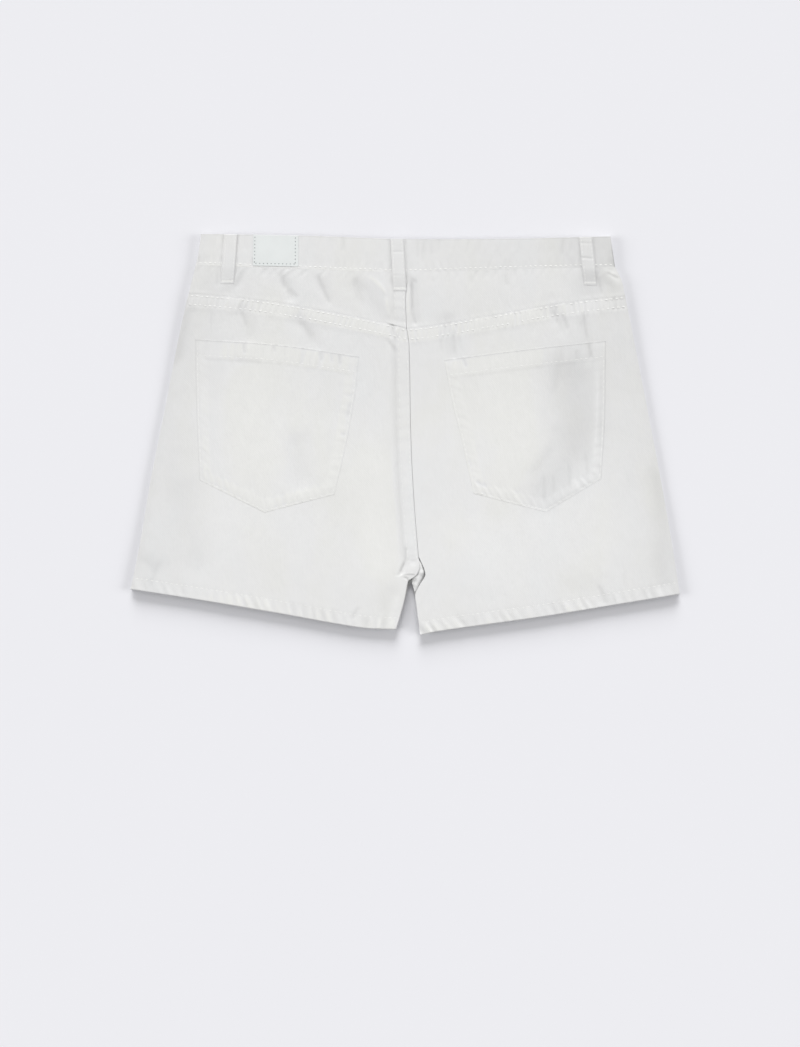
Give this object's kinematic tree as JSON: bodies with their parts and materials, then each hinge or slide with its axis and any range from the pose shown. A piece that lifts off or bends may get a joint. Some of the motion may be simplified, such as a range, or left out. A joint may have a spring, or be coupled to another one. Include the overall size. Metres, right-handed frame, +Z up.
{
  "type": "denim shorts laid flat",
  "caption": "Short denim trousers lying flat with the back side up: panels, yokes, pointed patch pockets, waistband, belt loops and a bare patch.",
  "frame": {"origin": "on the surface that the garment lies on, under the middle of its outline", "axes": "+Z up out of the surface, +Y towards the waist, +X to the right as seen from above"},
  "size_m": [0.5229, 0.3803, 0.0103],
  "materials": {
    "denim": "matt white cotton twill",
    "patch": "smooth pressed patch",
    "button": "satin"
  },
  "bodies": {
    "root": {"back_leg_left": "denim", "back_leg_right": "denim", "back_yoke_left": "denim", "back_yoke_right": "denim", "back_pocket_left": "denim", "back_pocket_right": "denim", "waistband_back": "denim", "belt_loop_back_left": "denim", "belt_loop_back_centre": "denim", "belt_loop_back_right": "denim", "waist_patch": "patch", "front_leg_left": "denim", "front_leg_right": "denim", "fly_flap": "denim", "waistband_front_left": "denim", "waistband_front_right": "denim", "belt_loop_front_left": "denim", "belt_loop_front_right": "denim", "waist_button": "button"}
  },
  "joints": []
}
